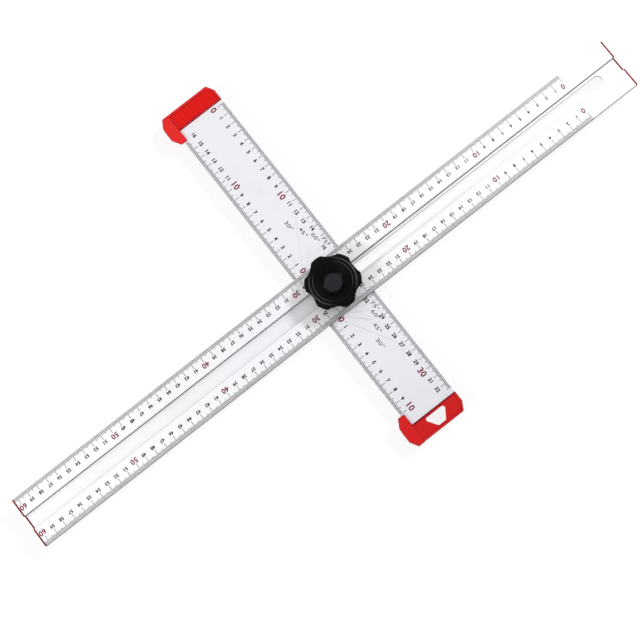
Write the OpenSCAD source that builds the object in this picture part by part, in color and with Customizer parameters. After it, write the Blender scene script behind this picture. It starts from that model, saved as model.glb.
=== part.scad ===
// Adjustable T-square: a slotted rule that slides and swings over a cross head, held by a clamp knob.
// Millimetres. The origin is on the clamp axis, in the plane of the head blade's underside.
// +X runs along the rule towards its zero end, +Y along the head towards its zero end, +Z up.

/* [Rule] */
// Length of the long rule over both end caps
rule_length = 655; // [450:5:1200]
// Width of the long rule
rule_width = 50; // [44:1:60]
// Height of the rule's two scale strips
rule_height = 6; // [5:0.5:9]
// Width of the sunken band between the scale strips
band_width = 14; // [12:0.5:18]
// Thickness of the web under the band
web_thickness = 1.8; // [1.4:0.1:2.6]
// Wall of the hollow box inside each scale strip
strip_wall = 1.2; // [0.8:0.1:1.5]
// Bevel along the long edges of the strips
strip_bevel = 0.4; // [0.2:0.1:0.6]
// Width of the slot in the web
slot_width = 9; // [8.5:0.1:10]
// Length of the slot over its round ends
slot_length = 310; // [150:5:360]
// Distance from the rule's zero end to the slot
slot_margin = 20; // [16:1:60]
// Play between the block's lug and the slot's far end as the rule is set here
slot_play = 4; // [1:0.5:10]
// Thickness of an end cap's flange
end_flange = 1.5; // [1:0.1:3]
// Length of an end cap's plugs inside the strips
end_plug_length = 12; // [6:1:15]

/* [Head] */
// Length of the cross head over both hook caps
head_length = 370; // [330:5:450]
// Distance from the clamp axis to the head's zero end
head_zero_reach = 214.7; // [180:0.1:230]
// Width of the head blade
blade_width = 50; // [46:1:60]
// Thickness of the head blade
blade_thickness = 3; // [2.5:0.5:5]
// Step from the blade's long edges in to its tongues
tongue_step = 3; // [2:0.5:4]

/* [Hook caps] */
// Length of a cap along the head
cap_depth = 17.5; // [16.5:0.5:20]
// Height of a cap's lip above the blade
cap_lip = 2; // [1.5:0.1:3]
// Skin of a cap under the blade
cap_skin = 2; // [1.8:0.1:3]
// Wall between a tongue's tip and the cap's outer end
cap_end_wall = 4; // [3:0.5:5]
// Width of a cap's leg across the head
leg_width = 11; // [8:0.5:14]
// Overlap of a leg on the blade's long edge
leg_overlap = 3; // [2:0.5:4]
// Length of a leg past the cap's inner edge
leg_reach = 12; // [8:1:20]
// Depth of a leg below the cap's skin
leg_drop = 8; // [5:0.5:14]
// Slant of a leg's free end off the upright, in degrees
leg_end_angle = 17; // [0:0.5:20]
// Slant of the cut corner at a leg's free end off the upright, in degrees
leg_corner_angle = 11; // [0:0.5:14]
// Corner cut of the caps, measured along the head
corner_cut_along = 7.6; // [5:0.2:8]
// Corner cut of the caps, measured across the head
corner_cut_across = 4.5; // [3:0.1:5]
// Depth of the sunken panel on top of a cap
panel_depth = 0.7; // [0.3:0.1:1]
// Rim round the sunken panel
panel_rim = 2.6; // [2:0.1:3.5]
// Rim between the sunken panel and the blade
panel_inner_rim = 1.2; // [0.8:0.1:2]
// Width of the hang hole on its blade side
hang_near_width = 20; // [14:0.5:22]
// Width of the hang hole on its outer side
hang_far_width = 10; // [8:0.5:12]
// Length of the hang hole along the head
hang_length = 11.9; // [9:0.1:12.5]
// Distance from the lower cap's inner edge to the hang hole
hang_margin = 2.3; // [1.5:0.1:2.8]
// Corner radius of the hang hole
hang_radius = 2.2; // [1:0.1:2.5]
// Wall between the hang hole and the blade's two fingers
finger_wall = 3; // [2:0.5:4]
// Shank diameter of the cap screws
screw_d = 3; // [2.5:0.5:3.5]
// Head diameter of the cap screws
screw_head_d = 6; // [5:0.5:6.5]

/* [Clamp] */
// Diameter of the clamp stud
stud_d = 6; // [5:0.5:6.5]
// Width across the flats of the stud's foot
stud_foot_flats = 11; // [9:0.5:13]
// Height of the stud's foot
stud_foot_height = 1.6; // [1:0.1:2]
// Diameter of the swivel washer under the rule
swivel_d = 42; // [30:1:44]
// Thickness of the swivel washer
swivel_thickness = 0.4; // [0.3:0.1:1]
// Length of the slide block in the band
block_length = 34; // [28:1:38]
// Height of the slide block above the scale strips
block_proud = 0.6; // [0.3:0.1:1]
// Length of the slide block's lug in the slot
lug_length = 14; // [12:0.5:20]
// Diameter of the thrust washer under the knob
thrust_d = 24; // [20:0.5:25]
// Thickness of the thrust washer
thrust_thickness = 2.4; // [2:0.1:3]

/* [Knob] */
// Diameter of the knob over its lobes
knob_d = 50.4; // [46:0.1:56]
// Diameter of the knob at the bottom of its flutes, at the rim's height
knob_flute_d = 44.6; // [43:0.2:46]
// Number of lobes
knob_lobes = 6; // [5:1:8]
// Width of a lobe's outer face
lobe_face = 12.2; // [9:0.1:13]
// Height of the knob from its skirt to its rim
knob_height = 21; // [19:0.5:26]
// Clearance of the knob's skirt above the scale strips
knob_clearance = 1; // [0.8:0.1:2]
// Outer diameter of the knob's flat rim
rim_outer_d = 39; // [38:0.5:41]
// Inner diameter of the knob's flat rim
rim_inner_d = 35; // [30:0.5:36]
// Radius of the rounded shoulder outside the rim
shoulder_radius = 2.5; // [1:0.1:3]
// Slope of the lobes' tops outside the shoulder, in degrees
lobe_slope_angle = 36; // [30:1:60]
// Draft of the knob's side, in degrees
side_draft_angle = 8; // [2:0.5:9]
// Depth of the knob's dish below its rim
dish_depth = 7; // [5:0.5:8]
// Diameter of the flat floor of the dish
dish_floor_d = 17; // [16.5:0.1:19]
// Diameter of the cap plug in the dish's floor
plug_d = 15.8; // [14:0.2:16]
// Thickness of the cap plug
plug_thickness = 1.4; // [1:0.1:2]
// Diameter of the threaded insert
insert_d = 12; // [11:0.5:13]
// Diameter of the knob's hub
hub_d = 19; // [17:0.5:21]
// Thickness of the ribs inside the knob
rib_thickness = 1.8; // [1.2:0.1:3]

/* [Hidden] */
$fn = 64;

// Overrun of every cut past the face it opens
over = 1;
// Clearance beside a tongue in its cap and beside a plug in its strip
fit_gap = 0.1;
// Side clearance of the slide block in the band and of its lug in the slot
slide_gap = 0.1;
// Radial clearance of what turns on the stud
stud_gap = 0.05;
// Radial clearance of the thrust washer on the insert's spigot
spigot_gap = 0.08;
// Room between the snap ring and the thrust washer
ring_play = 0.1;
// Clearance of the slide block's lug above the swivel washer
lug_lift = 0.1;

// Levels, from the blade's underside up
rule_z = blade_thickness + swivel_thickness;
rule_top = rule_z + rule_height;
web_top = rule_z + web_thickness;
block_top = rule_top + block_proud;
thrust_top = block_top + thrust_thickness;
knob_z = rule_top + knob_clearance;
knob_top = knob_z + knob_height;
dish_z = knob_top - dish_depth;
insert_top = dish_z - plug_thickness;

// Rule: where it lies along X, and its two strips
zero_end_x = slot_margin + slot_length - lug_length / 2 - slot_play;
far_end_x = zero_end_x - rule_length;
slot_near_x = zero_end_x - slot_margin;
slot_far_x = slot_near_x - slot_length;
strip_width = (rule_width - band_width) / 2;

// Head: where the caps' inner edges lie along Y, and the tongues' places across the head
head_low_reach = head_length - head_zero_reach;
upper_cap_y = head_zero_reach - cap_depth;
lower_cap_y = head_low_reach - cap_depth;
tongue_length = cap_depth - cap_end_wall;
tongue_half = blade_width / 2 - tongue_step;
finger_inner = hang_near_width / 2 + finger_wall;
leg_inner_x = leg_overlap - blade_width / 2;
leg_outer_x = leg_inner_x - leg_width;
leg_z = -cap_skin - leg_drop;
cap_top = blade_thickness + cap_lip;
screw_x = (finger_inner + tongue_half) / 2;
screw_y = cap_depth / 2;

// Screws: the height of the cone under a countersunk head, and the cross in it
screw_cone_height = (screw_head_d - screw_d) / 2;
screw_hole_gap = 0.15;
screw_cross_depth = 0.9;
screw_cross_width = 0.7;
screw_cross_span = 3.3;

// Stud: its tip and the gap above it
stud_tip_gap = 1;
stud_tip_bevel = 0.8;
stud_top = insert_top - stud_tip_gap;

// Insert and snap ring
spigot_wall = 1.5;
spigot_d = stud_d + 2 * spigot_wall;
spigot_lift = 0.2;
spigot_z = block_top + spigot_lift;
ring_thickness = 0.6;
ring_grip = 0.5;
ring_reach = 0.9;
ring_inner_d = spigot_d - 2 * ring_grip;
ring_outer_d = spigot_d + 2 * ring_reach;
ring_room = 0.35;
ring_top = block_top + thrust_thickness / 2 - ring_play;
ring_opening_angle = 50;
waist_depth = 0.7;
waist_height = 2.4;

// Knob: angles of a lobe's face and of a flute, and the circle that cuts the flute
knob_r = knob_d / 2;
face_half_angle = asin(lobe_face / knob_d);
flute_half_angle = 180 / knob_lobes - face_half_angle;
flute_chord = knob_r * sin(flute_half_angle);
flute_sagitta = knob_r * cos(flute_half_angle) - knob_flute_d / 2;
flute_r = (flute_chord * flute_chord + flute_sagitta * flute_sagitta) / (2 * flute_sagitta);
flute_growth = tan(side_draft_angle);
first_lobe_angle = 90;
shoulder_steps = 6;
skirt_bevel = 0.6;
thrust_room = 1;
pocket_outer_d = 34;
pocket_roof = 3;
pocket_top = dish_z - pocket_roof;

// Rounded slot in plan between two places on X
module slot_outline(x_from, x_to, width) {
    radius = width / 2;
    translate([x_from + radius, -radius]) square([x_to - x_from - width, width]);
    translate([x_from + radius, 0]) circle(radius);
    translate([x_to - radius, 0]) circle(radius);
}

// Outer section of the rule, across and up from its underside
module rule_section() {
    half = rule_width / 2;
    band = band_width / 2;
    polygon([
        [-half, 0], [half, 0],
        [half, rule_height - strip_bevel], [half - strip_bevel, rule_height],
        [band + strip_bevel, rule_height], [band, rule_height - strip_bevel],
        [band, web_thickness], [-band, web_thickness],
        [-band, rule_height - strip_bevel], [-band - strip_bevel, rule_height],
        [strip_bevel - half, rule_height], [-half, rule_height - strip_bevel]
    ]);
}

// Inside of the two strips' boxes, drawn in by a margin
module strip_boxes(margin) {
    inset = strip_wall + margin;
    for (side = [-1, 1])
        translate([side * (band_width + strip_width) / 2, rule_height / 2])
            square([strip_width - 2 * inset, rule_height - 2 * inset], center = true);
}

// Lays a section drawn across and up along +X from a place on the rule
module along_rule(x_from, length) {
    translate([x_from, 0, rule_z]) rotate([90, 0, 90]) linear_extrude(length) children();
}

module long_rule() {
    color([0.93, 0.93, 0.95])
    difference() {
        along_rule(far_end_x + end_flange, rule_length - 2 * end_flange) difference() {
            rule_section();
            strip_boxes(0);
        }
        translate([0, 0, rule_z - over])
            linear_extrude(web_thickness + 2 * over) slot_outline(slot_far_x, slot_near_x, slot_width);
    }
}

module zero_end_cap() {
    color([0.72, 0.1, 0.1]) {
        along_rule(zero_end_x - end_flange, end_flange) rule_section();
        along_rule(zero_end_x - end_flange - end_plug_length, end_plug_length) strip_boxes(fit_gap);
    }
}

module far_end_cap() {
    color([0.72, 0.1, 0.1]) {
        along_rule(far_end_x, end_flange) rule_section();
        along_rule(far_end_x + end_flange, end_plug_length) strip_boxes(fit_gap);
    }
}

// Places one cap's features: +Y points outwards, and zero is the cap's inner edge
module at_cap(upper) {
    if (upper) translate([0, upper_cap_y, 0]) children();
    else translate([0, -lower_cap_y, 0]) mirror([0, 1, 0]) children();
}

// Plan of a tongue, full width or split into two fingers beside the hang hole
module tongue_outline(split, margin) {
    half = tongue_half + margin;
    difference() {
        translate([-half, 0]) square([2 * half, tongue_length + margin]);
        if (split)
            translate([margin - finger_inner, -over])
                square([2 * (finger_inner - margin), tongue_length + margin + 2 * over]);
    }
}

module head_blade() {
    color([0.88, 0.88, 0.92])
    difference() {
        union() {
            translate([-blade_width / 2, -lower_cap_y, 0])
                cube([blade_width, upper_cap_y + lower_cap_y, blade_thickness]);
            at_cap(true) linear_extrude(blade_thickness) tongue_outline(false, 0);
            at_cap(false) linear_extrude(blade_thickness) tongue_outline(true, 0);
        }
        translate([0, 0, -over]) cylinder(h = blade_thickness + 2 * over, d = stud_d);
        translate([0, 0, -over]) stud_foot(stud_foot_height + over);
        for (upper = [true, false])
            at_cap(upper) for (side = [-1, 1])
                translate([side * screw_x, screw_y, -over]) cylinder(h = blade_thickness + 2 * over, d = screw_d);
    }
}

// Plan of a cap with its leg, with the corners cut
module cap_outline() {
    edge = blade_width / 2;
    polygon([
        [leg_inner_x, -leg_reach], [leg_outer_x + corner_cut_across, -leg_reach],
        [leg_outer_x, corner_cut_along - leg_reach], [leg_outer_x, cap_depth - corner_cut_along],
        [leg_outer_x + corner_cut_across, cap_depth], [edge - corner_cut_across, cap_depth],
        [edge, cap_depth - corner_cut_along], [edge, 0], [leg_inner_x, 0]
    ]);
}

// Plan of the sunken panel, whose corner follows the cap's cut corner
module panel_outline() {
    right = blade_width / 2 - panel_rim;
    outer = cap_depth - panel_rim;
    cut_shift = panel_rim * corner_cut_across / corner_cut_along;
    polygon([
        [leg_inner_x, panel_inner_rim], [leg_inner_x, outer],
        [right - corner_cut_across + cut_shift, outer],
        [right, cap_depth - corner_cut_along], [right, panel_inner_rim]
    ]);
}

// Plan of the hang hole: a trapezium with rounded corners
module hang_outline() {
    near = hang_near_width / 2 - hang_radius;
    far = hang_far_width / 2 - hang_radius;
    low = hang_margin + hang_radius;
    high = hang_margin + hang_length - hang_radius;
    slant = atan2(near - far, high - low);
    side_x = hang_radius * cos(slant);
    side_y = hang_radius * sin(slant);
    for (side = [-1, 1]) {
        translate([side * near, low]) circle(hang_radius);
        translate([side * far, high]) circle(hang_radius);
    }
    polygon([
        [-near, hang_margin], [near, hang_margin],
        [near + side_x, low + side_y], [far + side_x, high + side_y],
        [far, hang_margin + hang_length], [-far, hang_margin + hang_length],
        [-far - side_x, high + side_y], [-near - side_x, low + side_y]
    ]);
}

// Cut for a countersunk screw from the cap's underside into the blade
module screw_cut() {
    gap = screw_hole_gap;
    translate([0, 0, -cap_skin - over]) cylinder(h = cap_skin + over, d = screw_d + 2 * gap);
    translate([0, 0, -cap_skin]) cylinder(h = screw_cone_height, d1 = screw_head_d + 2 * gap, d2 = screw_d + 2 * gap);
    translate([0, 0, -cap_skin - over]) cylinder(h = over, d = screw_head_d + 2 * gap);
}

// Wedge that slants a side of the leg inwards, down from the edge between two points of the plan
module slant_cut(start, end, angle) {
    run = end - start;
    drop = cap_top - leg_z + over;
    translate([start[0], start[1], cap_top]) rotate([0, 0, atan2(run[1], run[0])])
        rotate([90, 0, 90]) translate([0, 0, -leg_width]) linear_extrude(norm(run) + 2 * leg_width)
            polygon([[0, 0], [-over, 0], [-over, -drop], [drop * tan(angle), -drop]]);
}

module hook_cap(upper) {
    corner = [leg_outer_x + corner_cut_across, -leg_reach];
    at_cap(upper) difference() {
        union() {
            translate([0, 0, -cap_skin]) linear_extrude(cap_top + cap_skin) cap_outline();
            translate([0, 0, leg_z]) linear_extrude(leg_drop) intersection() {
                cap_outline();
                translate([leg_outer_x, -leg_reach]) square([leg_width, cap_depth + leg_reach]);
            }
        }
        translate([0, -over, 0]) linear_extrude(blade_thickness) union() {
            tongue_outline(!upper, fit_gap);
            translate([0, over]) tongue_outline(!upper, fit_gap);
        }
        translate([-blade_width / 2 - fit_gap, -leg_reach - over, 0])
            cube([leg_overlap + over + fit_gap, leg_reach + over, blade_thickness]);
        translate([0, 0, cap_top - panel_depth]) linear_extrude(panel_depth + over) panel_outline();
        for (side = [-1, 1]) translate([side * screw_x, screw_y, 0]) screw_cut();
        slant_cut(corner, [leg_inner_x, -leg_reach], leg_end_angle);
        slant_cut([leg_outer_x, corner_cut_along - leg_reach], corner, leg_corner_angle);
        if (!upper)
            translate([0, 0, -cap_skin - over]) linear_extrude(cap_top + cap_skin + 2 * over) hang_outline();
    }
}

module upper_hook_cap() {
    color([0.9, 0.15, 0.13]) hook_cap(true);
}

module lower_hook_cap() {
    color([0.84, 0.14, 0.14]) hook_cap(false);
}

module cap_screw() {
    difference() {
        union() {
            translate([0, 0, -cap_skin]) cylinder(h = screw_cone_height, d1 = screw_head_d, d2 = screw_d);
            translate([0, 0, -cap_skin]) cylinder(h = cap_skin + blade_thickness, d = screw_d);
        }
        for (turn = [0, 90])
            translate([0, 0, screw_cross_depth / 2 - cap_skin - over / 2]) rotate(turn)
                cube([screw_cross_span, screw_cross_width, screw_cross_depth + over], center = true);
    }
}

module cap_screws(upper) {
    color([0.6, 0.6, 0.62])
    at_cap(upper) for (side = [-1, 1]) translate([side * screw_x, screw_y, 0]) cap_screw();
}

module upper_cap_screws() {
    cap_screws(true);
}

module lower_cap_screws() {
    cap_screws(false);
}

// Hexagonal foot of the stud, of a given height
module stud_foot(height) {
    cylinder(h = height, d = stud_foot_flats / cos(30), $fn = 6);
}

module clamp_stud() {
    color([0.62, 0.62, 0.64]) {
        stud_foot(stud_foot_height);
        cylinder(h = stud_top - stud_tip_bevel, d = stud_d);
        translate([0, 0, stud_top - stud_tip_bevel])
            cylinder(h = stud_tip_bevel, d1 = stud_d, d2 = stud_d - 2 * stud_tip_bevel);
    }
}

module swivel_washer() {
    color([0.2, 0.2, 0.22])
    translate([0, 0, blade_thickness]) difference() {
        cylinder(h = swivel_thickness, d = swivel_d);
        translate([0, 0, -over]) cylinder(h = swivel_thickness + 2 * over, d = stud_d + 2 * stud_gap);
    }
}

module slide_block() {
    color([0.25, 0.25, 0.27])
    difference() {
        union() {
            translate([-block_length / 2, slide_gap - band_width / 2, web_top])
                cube([block_length, band_width - 2 * slide_gap, block_top - web_top]);
            translate([0, 0, rule_z + lug_lift]) linear_extrude(web_thickness - lug_lift)
                slot_outline(-lug_length / 2, lug_length / 2, slot_width - 2 * slide_gap);
        }
        cylinder(h = block_top + over, d = stud_d + 2 * stud_gap);
    }
}

module thrust_washer() {
    color([0.66, 0.66, 0.68])
    difference() {
        translate([0, 0, block_top]) cylinder(h = thrust_thickness, d = thrust_d);
        translate([0, 0, block_top - over]) cylinder(h = thrust_thickness + 2 * over, d = spigot_d + 2 * spigot_gap);
        translate([0, 0, block_top - over])
            cylinder(h = thrust_thickness / 2 + over, d = ring_outer_d + 2 * ring_room);
    }
}

module washer_snap_ring() {
    reach = ring_outer_d * tan(ring_opening_angle / 2);
    color([0.5, 0.5, 0.52])
    translate([0, 0, ring_top - ring_thickness]) linear_extrude(ring_thickness) difference() {
        circle(d = ring_outer_d);
        circle(d = ring_inner_d);
        polygon([[0, 0], [ring_outer_d, -reach], [ring_outer_d, reach]]);
    }
}

// Outside of the insert, with its spigot below and a waist that the knob is moulded into
module insert_outside() {
    body = insert_top - thrust_top;
    translate([0, 0, spigot_z]) cylinder(h = insert_top - spigot_z, d = spigot_d);
    translate([0, 0, thrust_top]) difference() {
        cylinder(h = body, d = insert_d);
        translate([0, 0, (body - waist_height) / 2]) difference() {
            cylinder(h = waist_height, d = insert_d + over);
            cylinder(h = waist_height, d = insert_d - 2 * waist_depth);
        }
    }
}

module knob_insert() {
    color([0.78, 0.62, 0.3])
    difference() {
        insert_outside();
        translate([0, 0, spigot_z - over])
            cylinder(h = insert_top - spigot_z + 2 * over, d = stud_d + 2 * stud_gap);
        translate([0, 0, ring_top - ring_thickness]) difference() {
            cylinder(h = ring_thickness, d = spigot_d + over);
            cylinder(h = ring_thickness, d = ring_inner_d);
        }
    }
}

// Cuts between the knob's lobes: cones that widen towards its skirt
module flute_cuts() {
    for (lobe = [0 : knob_lobes - 1])
        rotate(first_lobe_angle + (lobe + 0.5) * 360 / knob_lobes)
            translate([knob_flute_d / 2 + flute_r, 0, knob_z - over])
                cylinder(h = knob_height + 2 * over, r1 = flute_r + (knob_height + over) * flute_growth,
                         r2 = flute_r - over * flute_growth);
}

// Half section of the knob's outside with its dish, its rounded shoulder and the slope of its lobes
module knob_profile() {
    rim = rim_outer_d / 2;
    shoulder = [
        for (step = [shoulder_steps : -1 : 0])
            let (turn = lobe_slope_angle * step / shoulder_steps)
            [rim + shoulder_radius * sin(turn), knob_top - shoulder_radius * (1 - cos(turn))]
    ];
    lobe_reach = knob_r - shoulder[0][0];
    lobe_top = shoulder[0][1] - lobe_reach * tan(lobe_slope_angle);
    skirt_top = knob_z + skirt_bevel;
    skirt_r = knob_r - (lobe_top - skirt_top) * tan(side_draft_angle);
    polygon(concat(
        [[0, knob_z], [skirt_r - skirt_bevel, knob_z], [skirt_r, skirt_top], [knob_r, lobe_top]],
        shoulder,
        [[rim_inner_d / 2, knob_top], [dish_floor_d / 2, dish_z], [0, dish_z]]
    ));
}

module knob_body() {
    color([0.09, 0.09, 0.1])
    difference() {
        rotate_extrude($fn = 128) knob_profile();
        flute_cuts();
        translate([0, 0, knob_z - over]) cylinder(h = thrust_top - knob_z + over, d = thrust_d + 2 * thrust_room);
        translate([0, 0, knob_z - over]) difference() {
            cylinder(h = pocket_top - knob_z + over, d = pocket_outer_d);
            cylinder(h = pocket_top - knob_z + over, d = hub_d);
            for (lobe = [0 : knob_lobes - 1])
                rotate(first_lobe_angle + lobe * 360 / knob_lobes)
                    translate([0, -rib_thickness / 2, 0])
                        cube([pocket_outer_d, rib_thickness, pocket_top - knob_z + over]);
        }
        insert_outside();
        translate([0, 0, insert_top]) cylinder(h = plug_thickness + over, d = plug_d);
    }
}

module knob_cap_plug() {
    color([0.18, 0.17, 0.19])
    translate([0, 0, insert_top]) cylinder(h = plug_thickness, d = plug_d);
}

head_blade();
upper_hook_cap();
lower_hook_cap();
upper_cap_screws();
lower_cap_screws();
clamp_stud();
swivel_washer();
long_rule();
zero_end_cap();
far_end_cap();
slide_block();
thrust_washer();
washer_snap_ring();
knob_body();
knob_insert();
knob_cap_plug();
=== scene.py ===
"""Looks of an adjustable T-square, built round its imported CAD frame.

Sizes are millimetres. Meshes are shaped in millimetres and scaled to metres when a piece is placed.
The row frame is the CAD's: +X along the rule, +Y along the head, +Z up, the origin on the clamp axis.
"""

from __future__ import annotations

import logging
import math
from collections.abc import Callable, Iterable
from dataclasses import dataclass, field
from enum import Enum

import bmesh
import bpy
from mathutils import Matrix, Vector


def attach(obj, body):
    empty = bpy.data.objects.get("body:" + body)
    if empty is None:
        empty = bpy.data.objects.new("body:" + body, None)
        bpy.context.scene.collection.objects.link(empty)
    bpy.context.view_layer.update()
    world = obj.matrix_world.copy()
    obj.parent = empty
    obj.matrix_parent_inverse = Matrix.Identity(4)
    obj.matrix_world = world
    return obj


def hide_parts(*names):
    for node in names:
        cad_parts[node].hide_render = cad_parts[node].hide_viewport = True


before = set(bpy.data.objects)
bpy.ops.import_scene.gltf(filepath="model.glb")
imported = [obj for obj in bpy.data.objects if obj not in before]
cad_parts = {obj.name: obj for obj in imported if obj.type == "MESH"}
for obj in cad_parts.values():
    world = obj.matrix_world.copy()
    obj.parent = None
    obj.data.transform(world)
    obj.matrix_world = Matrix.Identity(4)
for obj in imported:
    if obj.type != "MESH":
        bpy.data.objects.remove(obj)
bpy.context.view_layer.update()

LOG = logging.getLogger("t_square")
MM = 0.001
WHOLE_TURN = 2 * math.pi
SHARP_ANGLE = math.radians(28)
FLAT_ANGLE = math.radians(0.5)
JOIN_REACH = 0.002
MITRE_LIMIT = 0.5
TENS_WEIGHT = 0.028
LABEL_WEIGHT = 0.01
FALLING = (1.0, 0.0)
WHITE = (1.0, 1.0, 1.0, 1.0)

BMesh = bmesh.types.BMesh
BMVert = bmesh.types.BMVert
Mesh = bpy.types.Mesh
Node = bpy.types.Node
Socket = bpy.types.NodeSocket
Colour = tuple[float, float, float]
Flat = tuple[float, float]


def from_screen(red: float, green: float, blue: float) -> Colour:
    """Turns a colour as seen on a screen into the linear one that shaders take.

    Args:
        red: Red from 0 to 255.
        green: Green from 0 to 255.
        blue: Blue from 0 to 255.

    Returns:
        The linear colour, each channel from 0 to 1.
    """

    def linear(channel: float) -> float:
        """One channel, made linear."""
        share = channel / 255
        return share / 12.92 if share <= 0.04045 else ((share + 0.055) / 1.055) ** 2.4

    return linear(red), linear(green), linear(blue)


class Graph:
    """Adds nodes to one node tree and joins them."""

    def __init__(self, tree: bpy.types.NodeTree) -> None:
        """Keeps the tree that the nodes go into, and the shader in it."""
        self.tree = tree
        self.shader = tree.nodes.get("Principled BSDF") or tree.nodes.get("Background")

    def feed(self, node: Node, key: str | int, value: object) -> None:
        """Fills a node's input.

        Args:
            node: The node.
            key: The input's name or number.
            value: The output socket to join to it, or a value to set on it.
        """
        if isinstance(value, Socket):
            self.tree.links.new(value, node.inputs[key])
        else:
            node.inputs[key].default_value = value

    def shade(self, key: str, value: object) -> None:
        """Fills an input of the shader."""
        self.feed(self.shader, key, value)

    def add(self, kind: str, inputs: dict[str | int, object] | None = None, **settings: object) -> Node:
        """Adds a node.

        Args:
            kind: Blender's name of the node type.
            inputs: Values or output sockets for the node's inputs, by name or number.
            **settings: Properties of the node.

        Returns:
            The new node.
        """
        node = self.tree.nodes.new(kind)
        for name, value in settings.items():
            setattr(node, name, value)
        for key, value in (inputs or {}).items():
            self.feed(node, key, value)
        return node

    def math(self, operation: str, *values: object) -> Socket:
        """A Math node of the given operation over up to three numbers or sockets."""
        return self.add("ShaderNodeMath", dict(enumerate(values)), operation=operation).outputs[0]

    def vector(self, operation: str, *values: object) -> Node:
        """A Vector Math node of the given operation over one or two vectors."""
        return self.add("ShaderNodeVectorMath", dict(enumerate(values)), operation=operation)

    def plus(self, base: object, share: float, value: Socket) -> Socket:
        """A base with a share of another value added."""
        return self.math("MULTIPLY_ADD", value, share, base)

    def distance(self, value: Socket, centre: float) -> Socket:
        """How far a value lies from a centre, to either side."""
        return self.math("ABSOLUTE", self.math("SUBTRACT", value, centre))

    def length(self, first: Socket, second: Socket) -> Socket:
        """The length of a run that goes so far one way and so far at right angles to it."""
        square = self.math("MULTIPLY_ADD", first, first, self.math("MULTIPLY", second, second))
        return self.math("SQRT", square)

    def ramp(self, value: object, span: Flat, ends: Flat = (0.0, 1.0)) -> Socket:
        """Maps a value from one range to another with soft ends.

        Args:
            value: The socket or number to map.
            span: Where the range starts and ends.
            ends: The results at its start and its end.

        Returns:
            The socket that holds the mapped value.
        """
        inputs = dict(zip(("Value", "From Min", "From Max", "To Min", "To Max"), (value, *span, *ends)))
        return self.add("ShaderNodeMapRange", inputs, interpolation_type="SMOOTHSTEP").outputs[0]

    def blend(self, share: object, first: object, second: object) -> Socket:
        """Mixes two colours.

        Args:
            share: How much of the second colour there is, from 0 to 1.
            first: The first colour, or its socket.
            second: The second colour, or its socket.

        Returns:
            The socket that holds the mixed colour.
        """
        ends = [value if isinstance(value, Socket) else (*value, 1.0) for value in (first, second)]
        return self.add("ShaderNodeMix", {0: share, 6: ends[0], 7: ends[1]}, data_type="RGBA").outputs[2]

    def noise(self, vector: Socket, scale: object, detail: float = 2.0) -> Socket:
        """Smooth noise of a scale and a number of finer steps."""
        inputs = {"Vector": vector, "Scale": scale, "Detail": detail}
        return self.add("ShaderNodeTexNoise", inputs).outputs[0]

    def place(self) -> Socket:
        """The place on the piece, in metres in the row frame."""
        return self.add("ShaderNodeTexCoord").outputs["Object"]

    def parts(self, vector: Socket) -> list[Socket]:
        """The three coordinates of a vector."""
        return list(self.add("ShaderNodeSeparateXYZ", {0: vector}).outputs)

    def levelness(self) -> Socket:
        """1 where a face is level and 0 where it is a wall."""
        return self.math("ABSOLUTE", self.parts(self.add("ShaderNodeTexCoord").outputs["Normal"])[2])

    def mix_in(self, share: Socket, colour: Colour) -> None:
        """Mixes a share of another colour into what feeds the shader's colour."""
        plain = self.shader.inputs["Base Color"].links[0].from_socket
        self.shade("Base Color", self.blend(share, plain, colour))

    def relief(self, height: Socket, strength: float, depth: float) -> None:
        """Feeds a height to the shader's normal.

        Args:
            height: The socket with the height, 0 to 1.
            strength: The share of the relief that shows.
            depth: The relief's full depth in millimetres.
        """
        bump = self.add("ShaderNodeBump", {"Height": height, "Strength": strength, "Distance": depth * MM})
        self.shade("Normal", bump.outputs[0])


class Effect(Enum):
    """Surface effects that several finishes share."""

    MOULD_GRAIN = "mould_grain"
    DRAWN_LINES = "drawn_lines"
    HANDLING = "handling"
    EDGE_WEAR = "edge_wear"


@dataclass(frozen=True)
class EffectSizes:
    """A shared effect's two inputs with their usual values, and the ranges that its masks are cut from."""

    inputs: tuple[tuple[str, float], tuple[str, float]]
    first_range: Flat
    second_range: Flat = (0.0, 1.0)


EFFECT_SIZES = {
    Effect.MOULD_GRAIN: EffectSizes((("Grain", 2600.0), ("Spread", 0.5)), (0.3, 0.7), (0.3, 0.75)),
    Effect.DRAWN_LINES: EffectSizes((("Along X", 8.0), ("Along Y", 2200.0)), (0.35, 0.65)),
    Effect.HANDLING: EffectSizes((("Patch", 14.0), ("Streak", 90.0)), (0.45, 0.7), (0.3, 0.7)),
    Effect.EDGE_WEAR: EffectSizes((("Width", 0.0005), ("Patch", 300.0)), (0.999, 0.96), (0.2, 0.6)),
}
BROAD_SCALE = 60.0
BROAD_START = 0.25
LINES_UPWARD = 900.0
EDGE_SAMPLES = 6


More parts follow.
